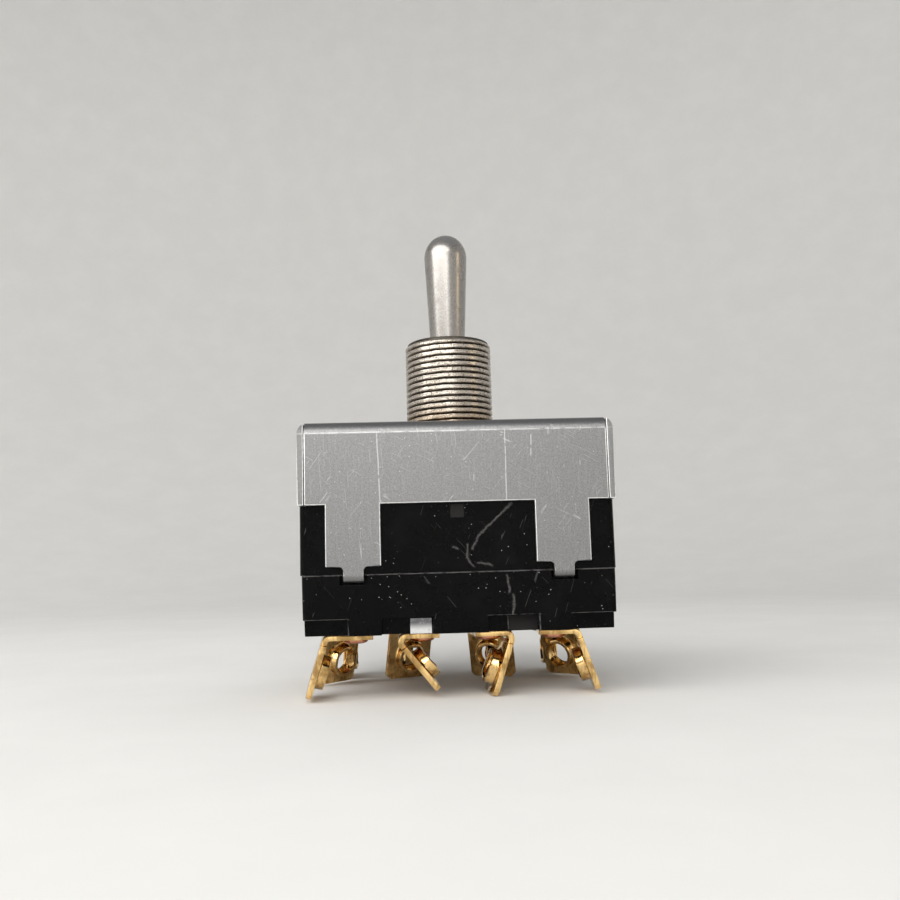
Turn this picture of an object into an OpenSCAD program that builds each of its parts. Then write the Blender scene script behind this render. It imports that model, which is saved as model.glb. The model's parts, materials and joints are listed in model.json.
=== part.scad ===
// Four-pole, centre-off toggle switch for panel mounting, with screw lugs.
// +Z runs up the bushing, X along the row of poles. The origin is on the bushing
// axis, on the top face of the frame, where the panel seats. Millimetres.

/* [Frame] */
// Width over the end flaps
frame_w = 38.3; // [37:0.1:46]
// Depth over the long flaps
frame_d = 33; // [31.5:0.1:42]
// Thickness of the steel sheet
sheet_t = 0.8; // [0.6:0.05:1]
// Outer radius of the folds
bend_r = 1.6; // [1.3:0.05:2.2]
// How far the flaps reach below the top face
flap_h = 10.1; // [8:0.1:13]
// Width of each leg
leg_w = 6.6; // [5:0.1:7]
// Distance of each leg's middle from the bushing axis
leg_x = 12.55; // [9:0.05:13.5]
// How far the legs reach below the top face
leg_h = 17.45; // [15:0.05:18]
// Width of the holding tongue below each leg
nub_w = 2.4; // [1.8:0.1:3]
// How far the tongue's folded end stands in under the base's ledge
nub_hook = 0.8; // [0.4:0.1:1.2]
// Radius of the tongue's lower corners
nub_corner = 0.5; // [0.2:0.05:0.8]
// Open seam between neighbouring flaps
corner_seam = 0.12; // [0.05:0.01:0.3]

/* [Bushing] */
// Outer diameter of the thread
thread_d = 11.906; // [11.5:0.01:12.5]
// Depth of the relief between the thread and the flange
neck_relief = 0.55; // [0.45:0.05:0.8]
// Height of the bushing above the top face
bushing_h = 13; // [10:0.1:16]
// Chamfer at the rim
rim_chamfer = 0.6; // [0.3:0.1:1]
// Diameter of the staked flange under the top plate
flange_d = 14; // [12.5:0.1:16]
// Thickness of the flange
flange_t = 1.2; // [0.8:0.1:1.8]
// Diameter of the flared mouth
mouth_d = 9.4; // [9.2:0.1:9.8]
// Diameter of the throat over the ball
throat_d = 6.2; // [6:0.1:6.6]

/* [Lever] */
// Height of the pivot above the top face
pivot_h = 4; // [3.6:0.1:4.8]
// Diameter of the pivot ball
ball_d = 7.4; // [7:0.1:7.8]
// Height of the tip above the top face
lever_h = 28.9; // [24:0.1:36]
// Diameter of the bat end
tip_d = 6; // [5.4:0.1:7]
// Diameter of the shank at the ball
shank_d = 4.3; // [3.8:0.1:4.6]
// Distance from the pivot to the middle of the tail ball
tail_l = 9.5; // [9:0.1:10.2]
// Diameter of the tail
tail_d = 2.3; // [1.8:0.1:2.6]
// Diameter of the tail ball
tail_ball_d = 2.8; // [2.4:0.1:3]
// Diameter of the pivot pin
pin_d = 1.6; // [1.2:0.1:2]
// Swing to each side, in degrees
throw = 12; // [8:0.5:12]

/* [Case and base] */
// Thickness of the insulating sheet under the top plate
gasket_t = 0.4; // [0.3:0.05:0.6]
// Thickness of the case's side walls
case_wall = 1.8; // [1.4:0.1:2.2]
// Thickness of the roof under the flange
roof_t = 1.3; // [1:0.1:1.8]
// How far the case stands out under each end flap
case_step = 0.7; // [0.3:0.05:0.75]
// Depth of the parting line below the top face
parting_z = 18.4; // [18.1:0.05:19.5]
// Height of the base below the parting line
base_h = 7.15; // [6.6:0.05:9]
// Thickness of the base's floor
floor_t = 3.5; // [3:0.1:3.6]
// Half of what the base is narrower than the frame at its top edge
base_inset = 0.45; // [0.2:0.05:0.8]
// How much each end of the base draws in towards the bottom
base_draft = 0.2; // [0:0.05:0.5]
// How far the base's long sides stay behind the legs' faces
base_relief = 0.1; // [0.05:0.05:0.4]
// Height of the base's spigot inside the case
spigot_h = 1; // [0.6:0.1:1.6]
// Thickness of the spigot
spigot_t = 0.8; // [0.6:0.1:1.1]
// Height of the pockets along the bottom edges
pocket_h = 1.95; // [1.2:0.05:2.6]
// Depth of those pockets
pocket_depth = 1.5; // [0.8:0.1:2]
// Width of each inner pocket
pocket_w = 6; // [4:0.1:7]
// Where each inner pocket starts, from the bushing axis
pocket_in_x = 3.3; // [2:0.1:4]
// Where each corner pocket starts, from the bushing axis
pocket_out_x = 13.3; // [12:0.1:15]
// Width of the bright lug in the second pocket
lug_w = 2.6; // [1.5:0.1:3.5]
// Thickness of the barriers between the poles
barrier_t = 0.8; // [0.6:0.1:1.2]

/* [Poles] */
// Distance from the middle of each end pole to the face of the frame beside it
pole_margin = 6.85; // [6.8:0.05:7.2]
// Where the middle of the row of poles lies
pole_shift = -0.5; // [-0.55:0.05:0.5]
// Distance from the outer rows of terminals to the frame's long faces
row_margin = 6; // [5.9:0.1:6.7]
// Width of the rockers
rocker_w = 4.6; // [3.8:0.1:4.8]
// Thickness of the rockers
rocker_t = 0.7; // [0.5:0.05:0.9]
// Swing of the rockers to each side, in degrees
rocker_throw = 6; // [3:0.5:6]
// Height of the rocker axis above the base's floor
rocker_axis_h = 3; // [2.8:0.1:3.3]
// Diameter of the rocker's trough
trough_d = 2; // [1.6:0.1:2.2]
// Diameter of the plungers
plunger_d = 2.6; // [2.2:0.1:2.7]
// Length of the plungers
plunger_l = 8.4; // [7.6:0.1:9]
// Diameter of the wire of the plunger springs
wire_d = 0.3; // [0.2:0.02:0.34]
// Turns of each plunger spring
spring_turns = 5; // [3:0.5:7]
// Height of the sliding carriage
carriage_h = 10.4; // [9.6:0.1:11]
// Width of the carriage along its travel
carriage_d = 5.2; // [4.6:0.1:6.4]

/* [Terminals] */
// Thickness of the brass strip
strip_t = 0.7; // [0.6:0.05:0.9]
// Width of the strip
tab_w = 6.3; // [5.8:0.1:6.6]
// Length of each tab below its bend
tab_l = 6.8; // [6:0.1:8]
// Inner radius of the bend
tab_bend_r = 0.4; // [0.3:0.05:0.7]
// How far beyond its rivet's head a lug may start to bend
foot_gap = 0.06; // [0.04:0.01:0.3]
// How far the foot goes on past the rivet
heel = 2; // [1.8:0.1:2.2]
// Cut corners at the end of the tab
tab_chamfer = 0.5; // [0.2:0.1:1]
// Diameter of the tapped hole, at the thread's crests
screw_d = 3; // [2.6:0.1:3.1]
// Outer diameter of the drawn collar
collar_d = 4.1; // [3.8:0.1:4.6]
// Height of the collar
collar_h = 1.1; // [0.6:0.1:1.2]
// Diameter of the rivet shanks
rivet_d = 2.2; // [1.8:0.1:2.4]
// Diameter of the rivet heads
rivet_head_d = 3.1; // [2.8:0.1:3.4]
// Height of the rivet heads
rivet_head_h = 0.6; // [0.4:0.1:0.7]
// Diameter of the contact buttons
contact_d = 3.2; // [2.8:0.1:3.4]

/* [Hidden] */
$fn = 64;
// Running gap between parts that slide or turn
run = 0.05;
// Gap between parts that are only put together
fit = 0.1;
// How far cuts reach past a face, and joined outlines into each other
over = 1;
lap = 0.01;
// Bend of each front tab from its foot, turn of its foot, and extra reach
front_fold = [73, 129, 109, 72];
front_turn = [186, 182, 6, -5];
front_extra = [1.5, 0.3, 0, 0.55];
// Bend, turn and extra reach of each centre tab
centre_fold = [77, 74, 77, 76];
centre_turn = [140, 115, 68, 47];
centre_extra = [1.1, 1.1, 0.9, 1.6];
// Bend, turn and extra reach of each rear tab
rear_fold = [90, 90, 90, 90];
rear_turn = [180, 180, 0, 0];
rear_extra = [0.3, 0.3, 0.3, 0.3];

// Frame
flap_half = frame_w / 2 - sheet_t - corner_seam / 2;
inner_x = frame_w / 2 - sheet_t;
inner_y = frame_d / 2 - sheet_t;
ledge_t = 0.25;
hook_z = parting_z + ledge_t + run;
nub_end = hook_z + sheet_t;
nub_fillet = 0.5;
hook_inner_r = 0.2;
hook_r = sheet_t + hook_inner_r;

// Bushing and lever
neck_d = thread_d - 2 * neck_relief;
bore_d = ball_d + 2 * run;
flange_z = sheet_t + flange_t;
groove_wall = 1.25;
groove_half = thread_d / 2 - groove_wall;
ring_drop = 1.8;
ring_top = pivot_h - ring_drop;
ring_bore = 6.2;
seat_z = pivot_h + sqrt(pow(bore_d / 2, 2) - pow(throat_d / 2, 2));
tip_z = lever_h - tip_d / 2;

// Case
gasket_z = sheet_t + gasket_t;
case_x = inner_x - run;
case_y = inner_y - run;
case_r = 0.8;
case_chamfer = 0.8;
hall_x = case_x - case_wall;
hall_y = case_y - case_wall;
flange_seat_z = flange_z + run;
roof_z = flange_seat_z + roof_t;
slot_gap = 0.3;
slot_x = tail_d / 2 + slot_gap;
slot_y = (pivot_h + roof_z) * tan(throw) + tail_d / 2 / cos(throw) + slot_gap;

// Base
base_z = parting_z + base_h;
floor_z = base_z - floor_t;
base_x = frame_w / 2 - base_inset;
base_y = frame_d / 2 - base_relief;
base_r = 0.6;
spigot_x = hall_x - fit;
spigot_y = hall_y - fit;
well_x = spigot_x - spigot_t;
well_y = spigot_y - spigot_t;
barrier_gap = 0.4;
lug_inset = 0.35;
notch_gap = 0.4;

// Poles
pole_pitch = (frame_w - 2 * pole_margin) / 3;
row_pitch = frame_d / 2 - row_margin;
function column_x(i) = pole_shift + (i - 2.5) * pole_pitch;
axis_z = -floor_z + rocker_axis_h;
button_h = 0.5;
button_edge = 0.2;
button_d = contact_d - 2 * button_edge;
rocker_half = row_pitch + contact_d / 2;
contact_z = axis_z - button_h * cos(rocker_throw) - rocker_half * sin(rocker_throw) - run;
ear_t = 0.7;
ear_gap = 0.4;
ear_half = 2.2;
saddle_half = 3;
clench_h = 0.4;
carriage_z = -roof_z - run;
carriage_x = hall_x - fit;
plunger_tip = axis_z + rocker_t + run;
plunger_top = plunger_tip + plunger_l;
nose_step = 0.3;
nose_d = plunger_d - 2 * nose_step;
bore_gap = 0.06;
bore_roof = 2;
bore_top = carriage_z - bore_roof;
tail_gap = 0.3;
fork_x = tail_ball_d / 2 + tail_gap;
fork_y = tail_ball_d / 2 + run;
fork_h = tail_l - pivot_h + tail_ball_d / 2 + tail_gap;
travel = tail_l * sin(throw);
neck_lag = travel - (pivot_h - carriage_z) * tan(throw);
fork_mouth = max(fork_y, neck_lag + tail_d / 2 / cos(throw) + tail_gap / 2);
fork_mouth_h = 1.3;

// ---- shared shapes -------------------------------------------------------

// A flat outline drawn in X and Z, drawn out along Y
module along_y(half) {
    rotate([90, 0, 0]) translate([0, 0, -half]) linear_extrude(2 * half) children();
}

// A flat outline drawn in Y and Z, drawn out along X
module along_x(half) {
    rotate([90, 0, 90]) translate([0, 0, -half]) linear_extrude(2 * half) children();
}

// A rectangle with round corners, by its half sizes
module round_rect(hx, hy, r) {
    square([2 * (hx - r), 2 * hy], center = true);
    square([2 * hx, 2 * (hy - r)], center = true);
    for (x = [-1, 1], y = [-1, 1]) translate([x * (hx - r), y * (hy - r)]) circle(r);
}

// An upright block between two heights, with round upright edges
module block(hx, hy, r, low, high) {
    translate([0, 0, low]) linear_extrude(high - low) round_rect(hx, hy, r);
}

// One quarter of a folded sheet's ring, in the first quadrant
module quarter_ring(outer) {
    intersection() {
        difference() {
            circle(outer);
            circle(outer - sheet_t);
        }
        square(outer);
    }
}

// ---- frame ---------------------------------------------------------------

// Section across a fold pair: the plate, two folds, and walls down to a depth
module fold_section(half, depth) {
    translate([-half + bend_r, -sheet_t]) square([2 * (half - bend_r), sheet_t]);
    for (s = [0, 1]) mirror([s, 0]) {
        translate([half - bend_r, -bend_r]) quarter_ring(bend_r);
        translate([half - sheet_t, -depth]) square([sheet_t, depth - bend_r]);
    }
}

// The same section with its walls' lower ends folded inwards
module hooked_section(half, depth) {
    fold_section(half, depth - hook_r);
    for (s = [0, 1]) mirror([s, 0]) {
        translate([half - hook_r, -depth + hook_r]) mirror([0, 1]) quarter_ring(hook_r);
        translate([half - sheet_t - nub_hook, -depth]) square([nub_hook - hook_inner_r, sheet_t]);
    }
}

// Front view of a long flap: the flap, two legs and a tongue under each
module flap_outline() {
    translate([-flap_half, -flap_h]) square([2 * flap_half, flap_h]);
    for (s = [-1, 1]) translate([s * leg_x, 0]) {
        translate([-leg_w / 2, -leg_h]) square([leg_w, leg_h]);
        translate([-nub_w / 2, -nub_end + nub_corner]) square([nub_w, nub_end - nub_corner]);
        translate([-nub_w / 2 + nub_corner, -nub_end]) square([nub_w - 2 * nub_corner, nub_end]);
        for (m = [-1, 1]) translate([m * (nub_w / 2 - nub_corner), -nub_end + nub_corner]) circle(nub_corner);
        for (m = [0, 1]) mirror([m, 0]) translate([nub_w / 2, -leg_h - nub_fillet]) difference() {
            square(nub_fillet);
            translate([nub_fillet, 0]) circle(nub_fillet);
        }
    }
}

module mounting_frame() {
    color("silver") difference() {
        union() {
            intersection() {
                along_x(flap_half) hooked_section(frame_d / 2, nub_end);
                along_y(frame_d) flap_outline();
            }
            intersection() {
                along_y(frame_d / 2) fold_section(frame_w / 2, flap_h);
                union() {
                    translate([-frame_w, -frame_d / 2 + bend_r, -flap_h])
                        cube([2 * frame_w, frame_d - 2 * bend_r, flap_h]);
                    for (m = [0, 1]) mirror([m, 0, 0]) translate([inner_x, -frame_d / 2, -flap_h])
                        cube([sheet_t + over, frame_d, flap_h]);
                }
            }
        }
        translate([0, 0, -sheet_t - over]) cylinder(h = sheet_t + 2 * over, d = thread_d + 2 * run);
    }
}

module bushing() {
    color("tan") difference() {
        union() {
            cylinder(h = bushing_h - rim_chamfer, d = thread_d);
            translate([0, 0, bushing_h - rim_chamfer])
                cylinder(h = rim_chamfer, d1 = thread_d, d2 = thread_d - 2 * rim_chamfer);
            translate([0, 0, -sheet_t]) cylinder(h = sheet_t, d = neck_d);
            translate([0, 0, -flange_z]) cylinder(h = flange_t, d = flange_d);
        }
        translate([0, 0, -flange_z - over]) cylinder(h = flange_z + over + pivot_h, d = bore_d);
        translate([0, 0, pivot_h]) sphere(d = bore_d);
        translate([0, 0, seat_z - run]) cylinder(h = bushing_h - seat_z + run, d1 = throat_d, d2 = mouth_d);
        translate([0, 0, bushing_h]) cylinder(h = over, d = mouth_d);
        // Grooves that let the pivot pin in from below
        translate([0, 0, pivot_h]) rotate([0, 90, 0])
            cylinder(h = 2 * groove_half, d = pin_d + 2 * run, center = true);
        translate([-groove_half, -pin_d / 2 - run, -flange_z - over])
            cube([2 * groove_half, pin_d + 2 * run, flange_z + over + pivot_h]);
    }
}

// Ring pressed in from below, on which the ball turns
module seat_ring() {
    color("goldenrod") difference() {
        translate([0, 0, -flange_z]) cylinder(h = flange_z + ring_top, d = bore_d - run);
        translate([0, 0, -flange_z - over]) cylinder(h = flange_z + ring_top + 2 * over, d = ring_bore);
        translate([0, 0, pivot_h]) sphere(d = bore_d);
    }
}

// ---- lever ---------------------------------------------------------------

// Half section of the bat lever, turned about the pivot axis height
module lever_section() {
    polygon([
        [0, pivot_h], [shank_d / 2, pivot_h], [shank_d / 2, pivot_h + ball_d / 2],
        [tip_d / 2, tip_z], [0, tip_z]
    ]);
    translate([0, pivot_h - tail_l]) square([tail_d / 2, tail_l]);
    half_disc(tip_z, tip_d);
    half_disc(pivot_h, ball_d);
    half_disc(pivot_h - tail_l, tail_ball_d);
}

module half_disc(height, diameter) {
    intersection() {
        translate([0, height]) circle(d = diameter);
        translate([0, height - diameter]) square([diameter, 2 * diameter]);
    }
}

module lever() {
    color("gainsboro") difference() {
        rotate_extrude() lever_section();
        translate([0, 0, pivot_h]) rotate([0, 90, 0])
            cylinder(h = ball_d + over, d = pin_d + run / 2, center = true);
    }
}

module pivot_pin() {
    color("dimgray") translate([0, 0, pivot_h]) rotate([0, 90, 0])
        cylinder(h = 2 * (groove_half - fit), d = pin_d, center = true);
}

// ---- case and base -------------------------------------------------------

module gasket() {
    color("saddlebrown") difference() {
        block(frame_w / 2 - bend_r, frame_d / 2 - bend_r, case_r, -gasket_z, -sheet_t);
        translate([0, 0, -gasket_z - over]) cylinder(h = gasket_t + 2 * over, d = flange_d + 2 * fit);
    }
}

module case() {
    color([0.08, 0.08, 0.08]) difference() {
        union() {
            intersection() {
                block(case_x, case_y, case_r, -parting_z, -gasket_z);
                along_y(frame_d) chamfered_top(case_x);
                along_x(frame_w) chamfered_top(case_y);
            }
            block(case_x + case_step, case_y, case_r, -parting_z, -flap_h - run);
        }
        block(hall_x, hall_y, case_r, -parting_z - over, -roof_z);
        translate([0, 0, -flange_seat_z]) cylinder(h = flange_seat_z, d = flange_d + 2 * fit);
        translate([-slot_x, -slot_y, -roof_z - over]) cube([2 * slot_x, 2 * slot_y, roof_z + over]);
    }
}

// Outline of the case's upper end with its top corners cut for the frame's folds
module chamfered_top(half) {
    polygon([
        [-half, -parting_z], [half, -parting_z], [half, -gasket_z - case_chamfer],
        [half - case_chamfer, -gasket_z], [-half + case_chamfer, -gasket_z],
        [-half, -gasket_z - case_chamfer]
    ]);
}

// Outline of the base from the front, drawn in towards the bottom
module base_outline() {
    polygon([
        [-base_x, -parting_z], [base_x, -parting_z],
        [base_x - base_draft, -base_z], [-base_x + base_draft, -base_z]
    ]);
}

// Room for one holding tongue: an open notch, and a pocket under a thin ledge
module nub_notch() {
    notch_half = nub_w / 2 + notch_gap;
    translate([-notch_half, -base_y - over, -nub_end - fit])
        cube([2 * notch_half, over + base_y - inner_y + fit, nub_end + fit - parting_z + over]);
    translate([-notch_half, -base_y - over, -nub_end - fit])
        cube([2 * notch_half, over + base_y - inner_y + nub_hook + 2 * fit, sheet_t + fit + run]);
}

module base() {
    color([0.07, 0.07, 0.07]) difference() {
        union() {
            intersection() {
                block(base_x, base_y, base_r, -base_z, -parting_z);
                along_y(frame_d) base_outline();
            }
            block(spigot_x, spigot_y, case_r, -parting_z - over, -parting_z + spigot_h);
        }
        difference() {
            block(well_x, well_y, case_r, -floor_z, -parting_z + spigot_h + over);
            for (i = [1:3]) translate([column_x(i + 0.5) - barrier_t / 2, -well_y - over, -floor_z - over])
                cube([barrier_t, 2 * (well_y + over), over + floor_z - parting_z + spigot_h - barrier_gap]);
        }
        for (s = [0, 1], x = [-leg_x, leg_x]) mirror([0, s, 0]) translate([x, 0, 0]) nub_notch();
        for (s = [0, 1], m = [0, 1]) mirror([0, s, 0]) mirror([m, 0, 0]) bottom_pockets();
        for (i = [1:4], row = [-1:1]) translate([column_x(i), row * row_pitch, -base_z - over])
            cylinder(h = floor_t + 2 * over, d = rivet_d + run);
    }
}

// The two pockets on one half of a bottom edge; the outer one opens at the corner
module bottom_pockets() {
    translate([pocket_in_x, -base_y - over, -base_z - over])
        cube([pocket_w, pocket_depth + over, pocket_h + over]);
    translate([pocket_out_x, -base_y - over, -base_z - over])
        cube([base_x, pocket_depth + over, pocket_h + over]);
}

// Bright plated lug that closes one end of the second front pocket
module pocket_lug() {
    color("white") translate([-pocket_in_x - fit - lug_w, -base_y + lug_inset, -base_z + run])
        cube([lug_w, pocket_depth - lug_inset - run, pocket_h - 2 * run]);
}

// ---- moving contacts -----------------------------------------------------

module carriage() {
    color("sienna") difference() {
        translate([-carriage_x, -carriage_d / 2, carriage_z - carriage_h])
            cube([2 * carriage_x, carriage_d, carriage_h]);
        translate([-fork_x, -fork_y, carriage_z - fork_h + roof_z]) cube([2 * fork_x, 2 * fork_y, fork_h]);
        translate([-fork_x, -fork_mouth, carriage_z - fork_mouth_h])
            cube([2 * fork_x, 2 * fork_mouth, fork_mouth_h + over]);
        for (i = [1:4]) translate([column_x(i), 0, carriage_z - carriage_h - over])
            cylinder(h = bore_top - carriage_z + carriage_h + over, d = plunger_d + 2 * bore_gap);
    }
}

module plunger(i) {
    color("khaki") translate([column_x(i), 0, 0]) rotate_extrude() {
        translate([0, plunger_tip + nose_d]) square([plunger_d / 2, plunger_l - nose_d]);
        translate([0, plunger_tip + nose_d / 2]) square([nose_d / 2, nose_d / 2]);
        half_disc(plunger_tip + nose_d / 2, nose_d);
    }
}

// A coil from the plunger's top to the blind end of its bore
module plunger_spring(i) {
    low = plunger_top + wire_d / 2 + run;
    rise = bore_top - plunger_top - wire_d - 2 * run;
    coil_r = plunger_d / 2 - wire_d / 2 - run;
    steps = round(spring_turns * 14);
    sides = 6;
    rings = [for (k = [0:steps]) let (a = 360 * spring_turns * k / steps) [
        for (s = [0:sides - 1]) let (b = 360 * s / sides, r = coil_r + wire_d / 2 * cos(b))
            [r * cos(a), r * sin(a), low + rise * k / steps + wire_d / 2 * sin(b)]
    ]];
    skin = [for (k = [0:steps - 1], s = [0:sides - 1]) let (n = (s + 1) % sides)
        [k * sides + s, (k + 1) * sides + s, (k + 1) * sides + n, k * sides + n]];
    first = [for (s = [0:sides - 1]) s];
    last = [for (s = [sides - 1:-1:0]) steps * sides + s];
    color("lightsteelblue") translate([column_x(i), 0, 0])
        polyhedron(points = [for (ring = rings) each ring], faces = concat([first], skin, [last]));
}

// Section of a rocker in Y and Z: a strip with a round trough on its axis
module rocker_section() {
    difference() {
        union() {
            translate([-rocker_half, 0]) square([2 * rocker_half, rocker_t]);
            circle(d = trough_d);
        }
        translate([0, rocker_t / 2]) circle(d = trough_d - 2 * rocker_t);
        translate([-trough_d, rocker_t]) square(2 * trough_d);
        translate([-trough_d / 2 + rocker_t, rocker_t / 2]) square([trough_d - 2 * rocker_t, rocker_t]);
    }
}

module rocker(i) {
    color("peru") translate([column_x(i), 0, axis_z]) {
        along_x(rocker_w / 2) rocker_section();
        for (s = [-1, 1]) translate([0, s * row_pitch, -button_h]) cylinder(h = button_h, d = button_d);
    }
}

// Bracket on the floor whose two ears carry a rocker's trough
module saddle(i) {
    ear_top = rocker_axis_h - ear_gap;
    color("darkgoldenrod") translate([column_x(i), 0, -floor_z]) difference() {
        union() {
            translate([-rocker_w / 2, -saddle_half, 0]) cube([rocker_w, 2 * saddle_half, ear_t]);
            for (s = [-1, 1]) translate([s * (rocker_w - ear_t) / 2 - ear_t / 2, -ear_half, 0])
                cube([ear_t, 2 * ear_half, ear_top]);
        }
        translate([0, 0, rocker_axis_h]) rotate([0, 90, 0])
            cylinder(h = rocker_w + over, d = trough_d + 2 * run, center = true);
        translate([0, 0, -over]) cylinder(h = ear_t + 2 * over, d = rivet_d + run);
    }
}

// ---- terminals -----------------------------------------------------------

// Side view of a lug's strip from its rivet: the foot, a bend and the tab
module strip_section(bend_x, fold) {
    outer_r = tab_bend_r + strip_t;
    far = 2 * outer_r;
    translate([-heel, -strip_t]) square([heel + bend_x + lap, strip_t]);
    translate([bend_x, -outer_r]) {
        intersection() {
            difference() {
                circle(outer_r);
                circle(tab_bend_r);
            }
            polygon([for (a = [0, fold / 2, fold]) [far * sin(a), far * cos(a)], [0, 0]]);
        }
        rotate(-fold) translate([-lap, tab_bend_r]) square([tab_l + lap, strip_t]);
    }
}

// What is cut from the tab's two end corners
module tab_corners() {
    for (s = [-1, 1]) translate([tab_l, s * tab_w / 2]) circle(tab_chamfer * sqrt(2), $fn = 4);
}

// A screw lug: the bent strip, with a drawn collar and a tapped hole in its tab
module terminal(i, row, turn, fold, extra) {
    outer_r = tab_bend_r + strip_t;
    bend_x = rivet_head_d / 2 + foot_gap + extra;
    hole_x = tab_l - tab_w / 2;
    color("gold") translate([column_x(i), row * row_pitch, -base_z]) rotate([0, 0, turn]) difference() {
        union() {
            along_y(tab_w / 2) strip_section(bend_x, fold);
            translate([bend_x, 0, -outer_r]) rotate([0, fold, 0])
                translate([hole_x, 0, tab_bend_r - collar_h])
                    cylinder(h = collar_h + strip_t / 2, d = collar_d);
        }
        translate([0, 0, -strip_t - over]) cylinder(h = strip_t + 2 * over, d = rivet_d + run);
        translate([bend_x, 0, -outer_r]) rotate([0, fold, 0]) translate([0, 0, tab_bend_r - collar_h - over])
            linear_extrude(collar_h + strip_t + 2 * over) {
                translate([hole_x, 0]) circle(d = screw_d);
                tab_corners();
            }
    }
}

// Rivets of one row, up to the floor and on by some length, with a clenched end or without
module rivets(row, rise, clench) {
    color("chocolate") for (i = [1:4]) translate([column_x(i), row * row_pitch, 0]) {
        translate([0, 0, -base_z - strip_t - rivet_head_h]) cylinder(h = rivet_head_h, d = rivet_head_d);
        translate([0, 0, -base_z - strip_t]) cylinder(h = strip_t + floor_t + rise, d = rivet_d);
        if (clench > 0) translate([0, 0, -floor_z + rise]) cylinder(h = clench, d = rivet_head_d);
    }
}

module contacts(row) {
    color("lightgray") for (i = [1:4]) translate([column_x(i), row * row_pitch, -floor_z])
        cylinder(h = contact_z + floor_z, d = contact_d);
}

// ---- what is drawn -------------------------------------------------------

mounting_frame();
bushing();
seat_ring();
lever();
pivot_pin();
gasket();
case();
base();
pocket_lug();
carriage();
for (i = [1:4]) {
    plunger(i);
    plunger_spring(i);
    rocker(i);
    saddle(i);
    terminal(i, -1, front_turn[i - 1], front_fold[i - 1], front_extra[i - 1]);
    terminal(i, 0, centre_turn[i - 1], centre_fold[i - 1], centre_extra[i - 1]);
    terminal(i, 1, rear_turn[i - 1], rear_fold[i - 1], rear_extra[i - 1]);
}
rivets(-1, 0, 0);  // front_rivets
rivets(0, ear_t, clench_h);  // centre_rivets
rivets(1, 0, 0);  // rear_rivets
contacts(-1);  // front_contacts
contacts(1);  // rear_contacts
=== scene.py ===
# %% [markdown]
# # A four-pole toggle switch
# The switch hangs behind a panel by its threaded bushing. A folded steel frame
# holds a black moulded body, and brass screw lugs hang below. Its solids are
# packed already, so this lesson adds what solids leave out: threads, eased
# edges, the ragged rims of drawn collars, and finishes. Lengths are in
# millimetres, and are brought to metres where a mesh is made. Only the shifts
# of patterns and the camera's clip distances are written in metres.

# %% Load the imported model
import bpy
import bmesh
import json
import math
import numpy as np
from mathutils import Matrix, Vector

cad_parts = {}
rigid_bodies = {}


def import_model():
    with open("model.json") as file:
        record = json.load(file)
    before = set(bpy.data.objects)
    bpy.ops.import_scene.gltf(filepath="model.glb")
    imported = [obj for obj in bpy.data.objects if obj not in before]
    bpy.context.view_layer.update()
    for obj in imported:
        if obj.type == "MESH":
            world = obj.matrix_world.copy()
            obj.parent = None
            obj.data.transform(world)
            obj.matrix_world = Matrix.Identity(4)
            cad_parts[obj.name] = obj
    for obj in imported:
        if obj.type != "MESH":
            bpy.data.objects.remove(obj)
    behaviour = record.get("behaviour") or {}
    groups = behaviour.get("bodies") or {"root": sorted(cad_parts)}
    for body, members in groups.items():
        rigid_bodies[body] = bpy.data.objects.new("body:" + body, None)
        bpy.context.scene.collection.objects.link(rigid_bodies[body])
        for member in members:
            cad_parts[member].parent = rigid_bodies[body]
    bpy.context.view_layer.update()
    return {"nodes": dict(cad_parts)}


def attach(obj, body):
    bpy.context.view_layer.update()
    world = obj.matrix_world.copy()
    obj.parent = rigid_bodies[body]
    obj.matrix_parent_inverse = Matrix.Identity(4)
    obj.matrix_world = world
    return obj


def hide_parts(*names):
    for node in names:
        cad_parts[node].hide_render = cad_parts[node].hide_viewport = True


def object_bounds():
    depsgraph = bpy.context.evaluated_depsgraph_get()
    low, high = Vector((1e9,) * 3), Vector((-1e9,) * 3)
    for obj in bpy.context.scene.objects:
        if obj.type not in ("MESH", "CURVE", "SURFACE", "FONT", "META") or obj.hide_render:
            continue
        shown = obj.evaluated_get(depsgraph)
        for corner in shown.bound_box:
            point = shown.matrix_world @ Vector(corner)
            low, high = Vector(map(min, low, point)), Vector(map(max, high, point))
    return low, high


for left_over in list(bpy.data.objects):
    bpy.data.objects.remove(left_over)
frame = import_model()
nodes = frame["nodes"]
MM = 0.001
scene = bpy.context.scene

# %% [markdown]
# ## A small kit for finishes
# A finish is a Principled shader fed by a few procedural patterns. All patterns
# read the object's own coordinates, so they stay fixed to the metal when the
# lever moves. Writing the nodes through a short helper keeps each finish to a
# handful of lines that say what the surface does.


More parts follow.
